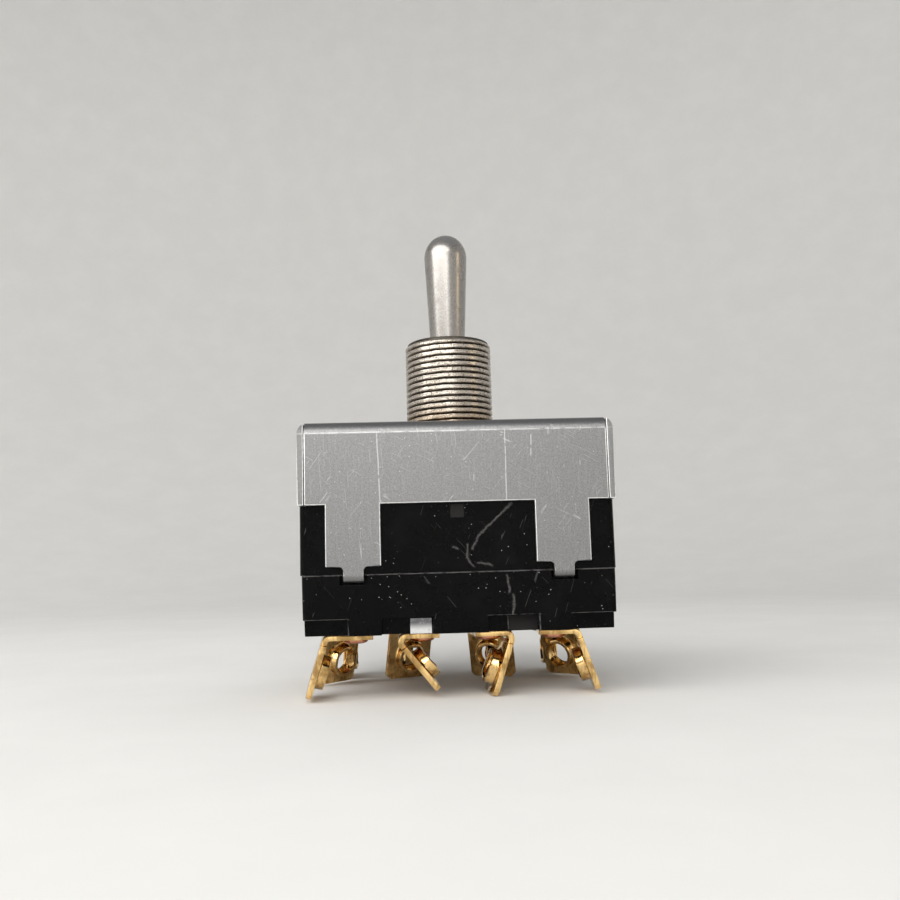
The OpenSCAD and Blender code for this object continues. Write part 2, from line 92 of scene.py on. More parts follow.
# %% The finish helper
class Finish:
    """One material: a Principled shader and short calls that add patterns to it."""

    def __init__(self, name, colour, metallic, roughness, **fixed):
        self.material = bpy.data.materials.new(name)
        self.material.use_nodes = True
        self.tree = self.material.node_tree
        self.tree.nodes.clear()
        self.skin = self.tree.nodes.new("ShaderNodeBsdfPrincipled")
        out = self.tree.nodes.new("ShaderNodeOutputMaterial")
        self.tree.links.new(self.skin.outputs[0], out.inputs[0])
        self.colour = (*colour, 1)
        self.roughness = roughness
        self.height = None
        self.skin.inputs["Metallic"].default_value = metallic
        for socket, value in fixed.items():
            self.skin.inputs[socket.replace("_", " ")].default_value = value
        self.place = self.node("ShaderNodeTexCoord").outputs["Object"]
        parts = self.node("ShaderNodeSeparateXYZ", {0: self.place})
        self.axes = {c: self.maths("MULTIPLY", parts.outputs[c], 1 / MM) for c in "XYZ"}

    def feed(self, socket, value):
        """Links a pattern to a socket, or sets a plain value on it."""
        if isinstance(value, bpy.types.NodeSocket):
            self.tree.links.new(value, socket)
        else:
            socket.default_value = value

    def node(self, kind, inputs=(), **settings):
        """Adds a node with its settings and with what feeds its inputs."""
        made = self.tree.nodes.new(kind)
        for key, value in settings.items():
            setattr(made, key, value)
        for socket, value in dict(inputs).items():
            self.feed(made.inputs[socket], value)
        return made

    def moved(self, stretch=(1, 1, 1), turn=(0, 0, 0), shift=(0, 0, 0)):
        """The object's coordinates: turned by degrees, then stretched, then shifted."""
        turn = tuple(math.radians(a) for a in turn)
        turned = self.node("ShaderNodeMapping", {"Vector": self.place, "Rotation": turn})
        return self.node("ShaderNodeMapping", {
            "Vector": turned.outputs[0], "Scale": stretch, "Location": shift}).outputs[0]

    def noise(self, per_mm, detail=3, rough=0.6, **where):
        """Cloudy noise with about this many blotches to a millimetre, from 0 to 1."""
        return self.node("ShaderNodeTexNoise", {
            "Vector": self.moved(**where), "Scale": per_mm / MM, "Detail": detail,
            "Roughness": rough}).outputs["Fac"]

    def cells(self, per_mm, **where):
        """Distance from scattered points, for specks and pits."""
        return self.node("ShaderNodeTexVoronoi", {
            "Vector": self.moved(**where), "Scale": per_mm / MM}).outputs["Distance"]

    def band(self, value, low, high, reverse=False):
        """0 below low, 1 above high, and smooth between; or the other way round."""
        ends = (1.0, 0.0) if reverse else (0.0, 1.0)
        return self.node("ShaderNodeMapRange", {
            0: value, 1: low, 2: high, 3: ends[0], 4: ends[1]},
            interpolation_type="SMOOTHSTEP").outputs[0]

    def near(self, value, centre, low, high):
        """1 where a value is within low of the centre, and 0 where it is high or more away."""
        away = self.maths("ABSOLUTE", self.maths("SUBTRACT", value, centre))
        return self.band(away, low, high, reverse=True)

    def maths(self, operation, a, b=0.0):
        """One operation on two values, or on one."""
        return self.node("ShaderNodeMath", {0: a, 1: b}, operation=operation).outputs[0]

    def chained(self, operation, values):
        """Several values joined by one operation, from left to right."""
        total = values[0]
        for value in values[1:]:
            total = self.maths(operation, total, value)
        return total

    def most(self, values):
        """The largest of several values at each place."""
        return self.chained("MAXIMUM", values)

    def both(self, *values):
        """The product of several values, so that all must be above 0."""
        return self.chained("MULTIPLY", values)

    def axis(self, letter):
        """The place along X, Y or Z, in millimetres."""
        return self.axes[letter]

    def beyond(self, letter, reach):
        """1 on the faces that lie further out than reach along X or Y, on both sides."""
        return self.band(self.maths("ABSOLUTE", self.axis(letter)), reach - 0.1, reach)

    def before(self, depth):
        """1 on what stands in front of a depth along Y, and 0 behind it."""
        return self.band(self.axis("Y"), depth, depth + 0.1, reverse=True)

    def radius(self):
        """The distance from the bushing's axis, in millimetres."""
        across = self.maths("POWER", self.axis("X"), 2)
        deep = self.maths("POWER", self.axis("Y"), 2)
        return self.maths("SQRT", self.maths("ADD", across, deep))

    def stroke(self, start, end, width, wander=None):
        """1 along a mark between two (X, Z) places in millimetres, and 0 away from it."""
        length = math.hypot(end[0] - start[0], end[1] - start[1])
        ux, uz = (end[0] - start[0]) / length, (end[1] - start[1]) / length
        dx = self.maths("SUBTRACT", self.axis("X"), start[0])
        dz = self.maths("SUBTRACT", self.axis("Z"), start[1])
        along = self.maths("ADD", self.both(dx, ux), self.both(dz, uz))
        off = self.maths("SUBTRACT", self.both(dz, ux), self.both(dx, uz))
        if wander:
            off = self.maths("ADD", off, wander)
        line = self.band(self.maths("ABSOLUTE", off), width * 0.2, width, reverse=True)
        # Each end fades from a little inside the mark to a little beyond it
        inside, beyond = 0.1, 0.25
        begins = self.band(along, -beyond, inside)
        ends = self.band(along, length - inside, length + beyond, reverse=True)
        return self.both(line, begins, ends)

    def tint(self, amount, colour):
        """Lays a colour over what is there, where amount is above 0."""
        mix = self.node("ShaderNodeMix", {0: amount, 6: self.colour, 7: (*colour, 1)},
                        data_type="RGBA")
        self.colour = mix.outputs[2]

    def roughen(self, amount, by):
        """Adds to the roughness where amount is above 0; by may be negative."""
        more = self.maths("MULTIPLY", amount, by)
        self.roughness = self.maths("ADD", more, self.roughness)

    def raise_by(self, amount, mm):
        """Adds real depth in millimetres to the bump, where amount is above 0."""
        more = self.maths("MULTIPLY", amount, mm * MM)
        self.height = more if self.height is None else self.maths("ADD", self.height, more)

    def done(self):
        """Feeds colour, roughness and bump to the shader, and gives back the material."""
        self.feed(self.skin.inputs["Base Color"], self.colour)
        self.feed(self.skin.inputs["Roughness"], self.roughness)
        if self.height is not None:
            bump = self.node("ShaderNodeBump", {
                "Height": self.height, "Strength": 1.0, "Distance": 1.0})
            self.feed(self.skin.inputs["Normal"], bump.outputs[0])
        print("finish", self.material.name, "uses", len(self.tree.nodes), "nodes")
        return self.material


# %% [markdown]
# ## Plated steel for the frame
# The frame is pressed from zinc-plated sheet. Rolling leaves faint upright
# streaks, plating leaves cloudy patches, and handling leaves short scratches.
# Stretched noise gives the streaks, plain noise the clouds, and contour lines
# of a strongly stretched noise the scratches. A few scribed lines and a small
# chip are placed by their ends. The press cuts through the plating, so the cut
# edges show bare steel, painted much brighter as a highlight along them too.


# %% Frame finish
def scratches(finish, turns, per_mm=1.2, thin=0.014, share=0.6):
    """Straight, broken hairlines: contours of a noise that is drawn out along one way."""
    lines = []
    for k, turn in enumerate(turns):
        drawn = finish.noise(per_mm, 0, 0.5, stretch=(1, 1, 0.025), turn=turn,
                             shift=(0.003 * k, 0.007 * k, 0.001 * k))
        gate = finish.noise(0.9, 1, stretch=(1, 1, 0.4), turn=turn, shift=(0.002, 0.004 * k, 0))
        lines.append(finish.both(finish.near(drawn, 0.5, 0, thin),
                                 finish.band(gate, share, share + 0.05)))
    return finish.most(lines)


# The outer faces of the flaps and the end walls, and the height where the folds end
FLAP_Y, WALL_X, FOLD_END_Z = 16.4, 19.0, -1.45
# Both ends of each scribed mark, as (X, Z)
SCRIBED = [((-9.53, -1.6), (-9.26, -9.9)), ((5.94, -1.6), (5.9, -9.9)), ((9.1, -2.2), (9.0, -4.7)),
           ((5.5, -1.75), (5.65, -1.8)), ((5.45, -2.1), (5.5, -2.1))]


def plated_steel():
    """Clouds, streaks and grit over the whole sheet, then painted fold darkening, hairlines and
    marks.
    """
    f = Finish("plated_steel", (0.215, 0.215, 0.218), 1.0, 0.40)
    clouds = f.noise(2.6, 5, 0.75)
    streaks = f.noise(4, 2, stretch=(1, 1, 0.05))
    grit = f.noise(6, 3)
    f.tint(f.both(f.band(clouds, 0.35, 0.65), 0.7), (0.265, 0.265, 0.265))
    f.tint(f.both(f.band(streaks, 0.5, 0.75), 0.3), (0.34, 0.34, 0.34))
    f.tint(f.both(f.band(grit, 0.48, 0.6), 0.5), (0.14, 0.14, 0.142))
    flecks = f.both(f.band(f.cells(1.5), 0.07, 0.13, reverse=True),
                    f.band(f.noise(0.6, 2), 0.45, 0.6))
    f.tint(f.both(flecks, 0.7), (0.5, 0.5, 0.5))
    # Painted dark reflection: the folds are tinted darker, with a bright line where they end
    height = f.axis("Z")
    fold = f.both(f.band(height, FOLD_END_Z, FOLD_END_Z + 1.1),
                  f.band(height, -0.2, -0.1, reverse=True))
    f.tint(f.both(fold, 0.6), (0.13, 0.13, 0.132))
    fold_end = f.both(f.near(height, FOLD_END_Z, 0.04, 0.12), f.band(f.noise(0.8, 3), 0.3, 0.6))
    f.tint(f.both(fold_end, 0.55), (0.55, 0.55, 0.55))
    on_flap, on_wall = f.beyond("Y", FLAP_Y), f.beyond("X", WALL_X)
    on_top = f.band(height, -0.05, -0.01)
    marks = f.most([
        f.both(scratches(f, [(0, 4, 0), (0, -38, 0), (0, 62, 0)]), on_flap),
        f.both(scratches(f, [(8, 0, 0), (-50, 0, 0)]), on_wall),
        f.both(scratches(f, [(90, 0, 20), (90, 0, 75)]), on_top)])
    broken = f.band(f.noise(1.5, 2), 0.3, 0.45)
    sway = f.both(f.maths("SUBTRACT", f.noise(0.5, 3), 0.5), 0.15)
    strokes = f.most([f.stroke(a, b, 0.11, sway) for a, b in SCRIBED])
    scribed = f.both(strokes, f.before(-FLAP_Y), broken)
    f.tint(f.both(marks, 0.6), (0.5, 0.5, 0.5))
    f.tint(f.both(scribed, 0.55), (0.6, 0.6, 0.6))
    f.roughen(f.band(clouds, 0.3, 0.8), 0.08)
    f.roughen(marks, -0.06)
    f.raise_by(streaks, 0.0015)
    f.raise_by(grit, 0.003)
    f.raise_by(marks, -0.003)
    return f.done()


def cut_edge_highlight():
    """Bare sheared steel, painted much brighter than the plating as a highlight along the edges."""
    f = Finish("cut_edge_painted_highlight", (0.84, 0.84, 0.84), 1.0, 0.4)
    f.tint(f.both(f.band(f.noise(3, 3), 0.45, 0.7), 0.6), (0.5, 0.5, 0.5))
    f.raise_by(f.noise(9, 2), 0.004)
    return f.done()


STEEL = plated_steel()
CUT_EDGE_HIGHLIGHT = cut_edge_highlight()

# %% [markdown]
# ## Nickel plate for the bushing and the lever
# Both are turned brass under nickel, which looks slightly warm. The lever's bat
# keeps fine rings from polishing. The thread's roots are painted nearly black as
# shade in the grooves, so the bushing darkens where the metal is closer to its axis.


# %% Nickel finishes
# The radius over the thread's crests, and how deep its groove is
THREAD_R, THREAD_DEPTH = 5.953, 0.42


def threaded_nickel():
    """Warm plate with wear, dings and specks, and painted shade in the thread roots."""
    f = Finish("threaded_nickel", (0.56, 0.515, 0.46), 1.0, 0.24)
    wear = f.noise(1.3, 4, 0.7)
    f.tint(f.band(wear, 0.45, 0.75), (0.42, 0.365, 0.30))
    f.tint(f.both(f.band(f.axis("Z"), 0.0, 5.0, reverse=True), 0.7), (0.42, 0.29, 0.16))
    dings = f.band(f.noise(3.6, 3), 0.57, 0.63)
    f.tint(f.both(dings, 0.75), (0.14, 0.11, 0.085))
    specks = f.band(f.cells(2.2), 0.0, 0.16, reverse=True)
    f.tint(f.both(specks, 0.7), (0.9, 0.87, 0.8))
    turned = f.noise(9, 2, stretch=(0.03, 0.03, 1))
    f.tint(f.both(f.band(turned, 0.5, 0.62), 0.5), (0.2, 0.175, 0.145))
    # Painted shade: the thread's roots are tinted nearly black, as the grooves' shade
    roots = f.band(f.radius(), THREAD_R - 0.34, THREAD_R - 0.14, reverse=True)
    f.tint(f.both(roots, 0.93), (0.035, 0.028, 0.022))
    f.roughen(roots, 0.35)
    f.roughen(f.band(wear, 0.4, 0.8), 0.14)
    f.raise_by(f.noise(7, 3), 0.010)
    f.raise_by(turned, 0.012)
    f.raise_by(dings, -0.012)
    return f.done()


def lever_nickel():
    """Smoother plate with fine polishing rings."""
    f = Finish("lever_nickel", (0.35, 0.335, 0.318), 1.0, 0.25)
    rings = f.noise(10, 2, stretch=(0.12, 0.12, 1))
    wear = f.noise(0.5, 4, 0.7)
    f.tint(f.band(wear, 0.5, 0.8), (0.27, 0.255, 0.24))
    f.tint(f.both(f.band(f.noise(6, 2), 0.6, 0.7), 0.5), (0.16, 0.145, 0.13))
    f.roughen(f.band(wear, 0.4, 0.8), 0.1)
    f.raise_by(rings, 0.003)
    f.raise_by(f.noise(5, 3), 0.003)
    return f.done()


THREADED_NICKEL = threaded_nickel()
LEVER_NICKEL = lever_nickel()

# %% [markdown]
# ## Black moulded resin
# The case and base are hard black resin with a gloss from the mould. Dust clings
# to it as tiny pale specks, and rubbing leaves greyish hairlines. Specks come
# from scattered points with a noise that thins them out. A broken scuff crosses
# the front in several strokes. Each is a soft slice of space along a line, and
# a slow noise makes it wander.


# %% Resin finish
# The case's front and sides, the back of the pockets, and the heights of three edges
FRONT_CASE_Y, SIDE_CASE_X, POCKET_Y = -15.3, 18.2, -14.0
PARTING_Z, POCKET_Z, BASE_LOW_Z = -18.4, -23.6, -25.5
# Both ends of each stroke of the scuff, as (X, Z)
SCUFFS = [((6.62, -10.3), (2.5, -14.1)), ((2.5, -14.0), (1.75, -15.8)),
          ((1.15, -15.1), (1.0, -16.8)), ((1.0, -16.7), (1.75, -17.9)),
          ((2.2, -17.4), (4.0, -17.8)), ((-0.75, -15.5), (-0.1, -15.8)),
          ((6.3, -21.2), (6.25, -23.6)), ((5.6, -18.9), (5.9, -21.0))]
# The centre and the half sizes of each worn patch, in X and Z
PATCHES = [((-0.06, -11.1), (0.85, 0.85)), ((7.55, -24.6), (1.75, 0.9))]
# Both ends of each painted highlight along the pockets' edges, as (X, Z)
HIGHLIT_EDGES = [((-18.3, POCKET_Z), (-13.3, POCKET_Z)), ((-13.4, POCKET_Z), (-13.2, BASE_LOW_Z)),
          ((3.3, POCKET_Z), (9.4, POCKET_Z)), ((9.35, POCKET_Z), (9.4, BASE_LOW_Z)),
          ((5.7, POCKET_Z), (5.75, BASE_LOW_Z)), ((13.3, POCKET_Z), (18.2, POCKET_Z))]


def patch_at(finish, centre, halves):
    """1 within a soft-edged rectangle in X and Z."""
    return finish.both(*[finish.near(finish.axis(letter), at, half - 0.12, half)
                         for letter, at, half in zip("XZ", centre, halves)])


def black_resin():
    """Gloss under haze and dust, with a scuff, patches of wear, and painted highlights along edges.
    """
    f = Finish("black_resin", (0.0015, 0.0015, 0.0016), 0.0, 0.15, Specular_IOR_Level=0.06)
    haze = f.noise(0.25, 4, 0.6)
    dust = f.both(f.band(f.cells(1.7), 0.06, 0.11, reverse=True),
                  f.band(f.noise(0.4, 2, shift=(3, 1, 2)), 0.5, 0.6))
    patchy = f.band(f.noise(6, 4, 0.7), 0.2, 0.75)
    sway = f.both(f.maths("SUBTRACT", f.noise(0.6, 4), 0.5), 0.9)
    wide = f.most([f.stroke(a, b, 0.26, sway) for a, b in SCUFFS])
    core = f.band(wide, 0.55, 1.0)
    scuff = f.both(f.most([f.both(wide, 0.4), core]), f.before(FRONT_CASE_Y), patchy)
    fine = {"per_mm": 0.9, "thin": 0.012, "share": 0.62}
    lint = f.most([
        f.both(scratches(f, [(0, 40, 0), (0, -20, 0)], **fine), f.beyond("Y", -FRONT_CASE_Y)),
        f.both(scratches(f, [(35, 0, 0), (-10, 0, 0)], **fine), f.beyond("X", SIDE_CASE_X))])
    # Patches of wear under the middle of the flap and in one pocket, and painted edge highlights
    sunk = f.before(POCKET_Y)
    patch = f.both(sunk, f.most([patch_at(f, at, halves) for at, halves in PATCHES]))
    highlight_gaps = f.band(f.noise(0.8, 4), 0.3, 0.55)
    edges = [f.near(f.axis("Z"), PARTING_Z - 0.03, 0.04, 0.11)]
    edges += [f.both(f.stroke(a, b, 0.11), sunk) for a, b in HIGHLIT_EDGES]
    painted_edge_highlight = f.both(f.most(edges), highlight_gaps)
    f.tint(f.both(f.band(haze, 0.45, 0.8), 0.5), (0.006, 0.0058, 0.0058))
    f.tint(f.both(patch, 0.6), (0.028, 0.027, 0.027))
    # Painted highlight: pale lines along the parting line and the pockets' edges, broken by noise
    f.tint(f.both(painted_edge_highlight, 0.6), (0.13, 0.128, 0.125))
    f.tint(f.both(scuff, 0.8), (0.12, 0.117, 0.113))
    f.tint(f.both(lint, 0.3), (0.12, 0.117, 0.114))
    f.tint(dust, (0.38, 0.37, 0.35))
    f.roughen(f.band(haze, 0.35, 0.75), 0.1)
    f.roughen(f.most([scuff, dust, patch]), 0.35)
    f.raise_by(f.noise(2.5, 2), 0.002)
    f.raise_by(scuff, 0.003)
    return f.done()


RESIN = black_resin()

# %% [markdown]
# ## Brass, copper and the plain inner metals
# The lugs are stamped from bright brass strip: golden where it is clean, brown
# where it has dulled, with drag marks from the bending tool. The rivets are a
# redder copper alloy. Inner pieces share the same recipe with other colours.


# %% Brass, copper and inner finishes
def strip_metal(name, clean, dull, roughness, drag, dull_share=0.55):
    """Stamped strip: clean and dulled patches, drag marks and small dark pits."""
    f = Finish(name, clean, 1.0, roughness)
    stain, groove_dirt, pit_dirt = (tuple(c * by for c in dull) for by in (0.35, 0.5, 0.3))
    patches = f.noise(0.55, 3, 0.55)
    f.tint(f.both(f.band(patches, dull_share - 0.08, dull_share + 0.12), 0.8), dull)
    f.tint(f.both(f.band(f.noise(0.7, 4, shift=(0.02, 0.01, 0)), 0.6, 0.72), 0.7), stain)
    marks = f.noise(3.2, 3, stretch=(1, 1, 0.1))
    f.tint(f.both(f.band(marks, 0.5, 0.64), 0.42), groove_dirt)
    pits = f.band(f.cells(2.4), 0.05, 0.12, reverse=True)
    f.tint(f.both(pits, 0.4), pit_dirt)
    f.roughen(f.band(patches, 0.4, 0.7), 0.1)
    f.raise_by(marks, drag)
    f.raise_by(f.noise(3, 3), drag)
    return f.done()


def moulded(name, colour, pale, roughness, grain):
    """Dull board or resin: two close tones and a fine grain."""
    f = Finish(name, colour, 0.0, roughness)
    f.tint(f.band(f.noise(grain, 4), 0.35, 0.7), pale)
    f.raise_by(f.noise(grain * 3, 2), 0.01)
    return f.done()


def bright_plate():
    """The bright lug, painted darker towards its top as shade deep in the pocket."""
    f = Finish("bright_plate", (0.72, 0.72, 0.73), 1.0, 0.2)
    # Painted shade: darker towards the top of the lug
    f.tint(f.band(f.axis("Z"), -25.2, -24.1), (0.13, 0.13, 0.135))
    f.tint(f.both(f.band(f.noise(2.5, 4), 0.5, 0.7), 0.5), (0.4, 0.4, 0.41))
    f.raise_by(f.noise(1.2, 2), 0.02)
    return f.done()


BRASS = strip_metal("lug_brass", (0.90, 0.62, 0.27), (0.36, 0.205, 0.065), 0.1, 0.004, 0.5)
COPPER = strip_metal("rivet_copper", (0.66, 0.30, 0.19), (0.4, 0.16, 0.09), 0.2, 0.002)
PLAIN_BRASS = strip_metal("inner_brass", (0.74, 0.56, 0.30), (0.58, 0.42, 0.2), 0.34, 0.002)
SPRING = strip_metal("spring_steel", (0.5, 0.5, 0.52), (0.38, 0.38, 0.4), 0.3, 0.002)
SILVER = strip_metal("contact_silver", (0.78, 0.77, 0.75), (0.5, 0.48, 0.45), 0.36, 0.002)
PLATE = bright_plate()
FIBRE = moulded("gasket_fibre", (0.20, 0.105, 0.055), (0.27, 0.15, 0.085), 0.75, 1.2)
BROWN_RESIN = moulded("carriage_resin", (0.16, 0.07, 0.04), (0.2, 0.09, 0.055), 0.5, 0.9)

# %% [markdown]
# ## Making and placing a piece
# Turned pieces come from a lathe: a half outline that is swung about an upright
# axis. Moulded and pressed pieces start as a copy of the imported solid. A real
# edge is never perfectly sharp, so the copy's flat facets are joined, and a
# narrow bevel lets each edge catch the light. Only outward edges longer than
# 0.3 mm get it: on a short one the bevel would overshoot its ends, and an
# inward corner has no rim to wear.


# %% Piece helpers
def piece(name, points, faces, material, body, stands_for, sharp):
    """Makes a mesh piece from points in millimetres, and ties it to the frame."""
    mesh = bpy.data.meshes.new(name)
    mesh.from_pydata([tuple(c * MM for c in p) for p in points], [], faces)
    mesh.materials.append(material)
    obj = bpy.data.objects.new(name, mesh)
    scene.collection.objects.link(obj)
    settle(obj, body, stands_for, sharp)


def settle(obj, body, stands_for, sharp):
    """Turns faces outwards, smooths up to the sharp angle, and tells the frame of the piece."""
    mesh = obj.data
    shell = bmesh.new()
    shell.from_mesh(mesh)
    bmesh.ops.recalc_face_normals(shell, faces=shell.faces)
    shell.to_mesh(mesh)
    shell.free()
    for face in mesh.polygons:
        face.use_smooth = True
    mesh.set_sharp_from_angle(angle=math.radians(sharp))
    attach(obj, body)
    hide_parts(*stands_for)
    print("made", obj.name, "with", len(mesh.polygons), "faces")


def swung(profile, steps, centre=(0, 0)):
    """Points and faces of an outline of (radius, height), swung about an upright axis."""
    points, faces, rows = [], [], []
    for radius, height in profile:
        if radius < 1e-6:  # on the axis, one point serves the whole turn
            rows.append([len(points)] * steps)
            points.append((centre[0], centre[1], height))
            continue
        rows.append(list(range(len(points), len(points) + steps)))
        for k in range(steps):
            turn = 2 * math.pi * k / steps
            points.append((centre[0] + radius * math.cos(turn),
                           centre[1] + radius * math.sin(turn), height))
    for low, high in zip(rows, rows[1:]):
        for k in range(steps):
            ring = [low[k], low[(k + 1) % steps], high[(k + 1) % steps], high[k]]
            faces.append(tuple(dict.fromkeys(ring)))
    return points, [f for f in faces if len(f) > 2]


def arc(centre, radius, start, end, steps):
    """Points of a circular arc in an outline, angles in degrees from outwards to up."""
    turns = [math.radians(start + (end - start) * k / steps) for k in range(steps + 1)]
    return [(centre[0] + radius * math.cos(a), centre[1] + radius * math.sin(a)) for a in turns]


def bake(obj):
    """Puts what an object's modifiers make in place of its mesh."""
    evaluated = obj.evaluated_get(bpy.context.evaluated_depsgraph_get())
    made = bpy.data.meshes.new_from_object(evaluated)
    obj.modifiers.clear()
    obj.data = made


# Points closer than WELD are one, and facets within FLAT of each other are one face
WELD, FLAT = 0.002, math.radians(0.6)
# Edges that turn by more than SHARP and are longer than SHORTEST are eased
SHARP, SHORTEST = math.radians(38), 0.3


def eased(node, name, width, material, body, edge=None):
    """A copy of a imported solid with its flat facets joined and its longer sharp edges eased."""
    mesh = nodes[node].data.copy()
    mesh.name = name
    mesh.materials.clear()
    for finish in filter(None, (material, edge)):
        mesh.materials.append(finish)
    if "custom_normal" in mesh.attributes:
        mesh.attributes.remove(mesh.attributes["custom_normal"])
    shell = bmesh.new()
    shell.from_mesh(mesh)
    bmesh.ops.remove_doubles(shell, verts=shell.verts, dist=WELD * MM)
    bmesh.ops.dissolve_limit(shell, angle_limit=FLAT, verts=shell.verts, edges=shell.edges)
    weight = shell.edges.layers.float.new("bevel_weight_edge")
    for rim in shell.edges:
        corner = len(rim.link_faces) == 2 and rim.is_convex and rim.calc_face_angle() > SHARP
        rim[weight] = float(corner and rim.calc_length() > SHORTEST * MM)
    shell.to_mesh(mesh)
    shell.free()
    obj = bpy.data.objects.new(name, mesh)
    scene.collection.objects.link(obj)
    bevel = obj.modifiers.new("eased", "BEVEL")
    bevel.width = width * MM
    bevel.segments = 2
    bevel.limit_method = "WEIGHT"
    bevel.use_clamp_overlap = False
    # The bevels take the edge finish, if one is given: on the frame, bare steel painted as a
    # highlight
    bevel.material = 1 if edge else -1
    bake(obj)
    settle(obj, body, [node], 32)
    # Large faces set the shading, so that they look flat between their rounded edges
    obj.modifiers.new("flat_faces", "WEIGHTED_NORMAL").keep_sharp = True
    bake(obj)


# %% [markdown]
# ## The threaded bushing
# The thread is 32 turns to the inch. A lathe profile can't hold a thread, but a
# lathe grid can: each point's radius is lowered by how far it stands into the
# groove, and the groove's height climbs one pitch in each turn. At the rim the
# chamfer cuts the thread away, and inside it the mouth flares for the lever.

# %% Bushing with its thread
PITCH = 25.4 / 32
BUSHING_H, RIM, PLATE_T, FLANGE_R, FLANGE_T = 13.0, 0.6, 0.8, 7.0, 1.2
MOUTH_R, THROAT_R, BALL_R, PIVOT_H, RUN = 4.7, 3.1, 3.7, 4.0, 0.05
BORE_R = BALL_R + RUN
# The grid: points round each row, rows in each turn of thread
STEPS, ROWS_PER_TURN = 120, 15
# The groove's share of the pitch, where in a turn it starts, and the height it fades in over
GROOVE_SHARE, GROOVE_START, FADE_H = 0.44, 0.12, 0.5


def groove(share):
    """How deep the thread is at a share of its pitch: flat crests and narrow V roots."""
    away = abs((share % 1.0) - 0.5) * 2
    return THREAD_DEPTH * max(0.0, 1 - away / GROOVE_SHARE)


def threaded_bushing():
    """The bushing's outline on a lathe, with the thread cut into its outer points."""
    seat_z = PIVOT_H + math.sqrt(BORE_R ** 2 - THROAT_R ** 2)
    flange_low = -PLATE_T - FLANGE_T
    under = [(BORE_R, flange_low), (FLANGE_R - 0.1, flange_low), (FLANGE_R, flange_low + 0.1),
             (FLANGE_R, -PLATE_T), (THREAD_R - RUN, -PLATE_T), (THREAD_R - RUN, 0), (THREAD_R, 0)]
    rows = ROWS_PER_TURN * int((BUSHING_H - RIM) / PITCH)
    high = BUSHING_H - RIM / 2
    outside = [(THREAD_R, high * k / rows) for k in range(1, rows + 1)]
    rim = [(THREAD_R - RIM * 0.55, BUSHING_H - 0.06), (THREAD_R - RIM * 0.7, BUSHING_H),
           (MOUTH_R + 0.15, BUSHING_H), (MOUTH_R, BUSHING_H - 0.1)]
    throat = [(THROAT_R, seat_z)]
    seat = arc((0, PIVOT_H), BORE_R, math.degrees(math.acos(THROAT_R / BORE_R)), 0, 8)[1:]
    profile = under + outside + rim + throat + seat + [(BORE_R, flange_low)]
    points, faces = swung(profile, STEPS)
    cut = []
    for x, y, z in points:
        radius, turn = math.hypot(x, y), math.atan2(y, x) / (2 * math.pi)
        if radius > THREAD_R - 0.01 and z > 0:
            chamfer = max(0.0, z - (BUSHING_H - RIM))
            fade = min(1.0, z / FADE_H)
            new = THREAD_R - max(chamfer, fade * groove(z / PITCH - turn + GROOVE_START))
            x, y = x * new / radius, y * new / radius
        cut.append((x, y, z))
    piece("bushing_thread", cut, faces, THREADED_NICKEL, "housing",
          ["bushing"], 28)


threaded_bushing()

# %% [markdown]
# ## The bat lever
# The lever is one turned piece: a tail ball that drives the carriage, a thin
# tail, the ball it turns on, and a bat that widens towards its tip. A lathe is
# the honest way to make it. The tip is a little fuller than half a ball, so its
# outline is an arc with a slightly flattened crown.

# %% Lever
LEVER_H, TIP_R, SHANK_R = 28.9, 3.0, 2.15
TAIL_R, TAIL_BALL_R, TAIL_L = 1.15, 1.4, 9.5
# The tip's widest ring lies this far below half a ball's, and its dome is this full
TIP_DROP, TIP_POWER = 0.35, 0.93


def reach_angle(across, ball):
    """The angle in degrees at which a ball's outline is this far across."""
    return math.degrees(math.acos(across / ball))


def bat_lever():
    """The lever's outline from the tail ball up to the crown, on a lathe."""
    tail_z = PIVOT_H - TAIL_L
    wide_z = LEVER_H - TIP_R - TIP_DROP
    shank_z = PIVOT_H + BALL_R
    profile = arc((0, tail_z), TAIL_BALL_R, -90, reach_angle(TAIL_R, TAIL_BALL_R), 16)
    profile[0] = (0, tail_z - TAIL_BALL_R)
    profile += arc((0, PIVOT_H), BALL_R,
                   -reach_angle(TAIL_R, BALL_R), reach_angle(SHANK_R, BALL_R), 28)
    profile += [(SHANK_R + (TIP_R - SHANK_R) * t, shank_z + (wide_z - shank_z) * t)
                for t in (0, 0.02, 0.25, 0.5, 0.75, 0.95)]
    profile += [(TIP_R * math.cos(a) ** TIP_POWER, wide_z + (TIP_R + TIP_DROP) * math.sin(a))
                for a in np.linspace(0, math.pi / 2, 22)[:-1]]
    profile += [(0, LEVER_H)]
    points, faces = swung(profile, 96)
    piece("bat_lever", points, faces, LEVER_NICKEL, "handle", ["lever"], 40)


bat_lever()

# %% [markdown]
# ## The frame, the case and the base
# These keep the imported shape, and so does the bright lug in its pocket. The
# steel is eased by 0.13 mm; its edges show bare steel, painted bright as a highlight.
# Moulds leave crisper edges, so the resin is eased by 0.1 mm and less.

# %% Frame, case and base
eased("mounting_frame", "steel_frame", 0.13, STEEL, "housing", CUT_EDGE_HIGHLIGHT)
eased("case", "case_shell", 0.10, RESIN, "housing")
eased("base", "base_block", 0.08, RESIN, "housing")
eased("pocket_lug", "bright_lug", 0.08, PLATE, "housing")

# %% [markdown]
# ## The screw lugs
# Each lug starts as a flat brass strip, riveted at one end. The other end is
# pierced, and a punch draws a short collar round the hole so that it can carry
# enough thread; then the strip is bent down. Here the strip is swept along its
# bend, the collar is swung round the hole, and both share the ring of points
# where they meet, so the lug is one closed skin. The front and centre ones were
# bent by hand, so no two of them stand alike. The rear ones keep a square bend.

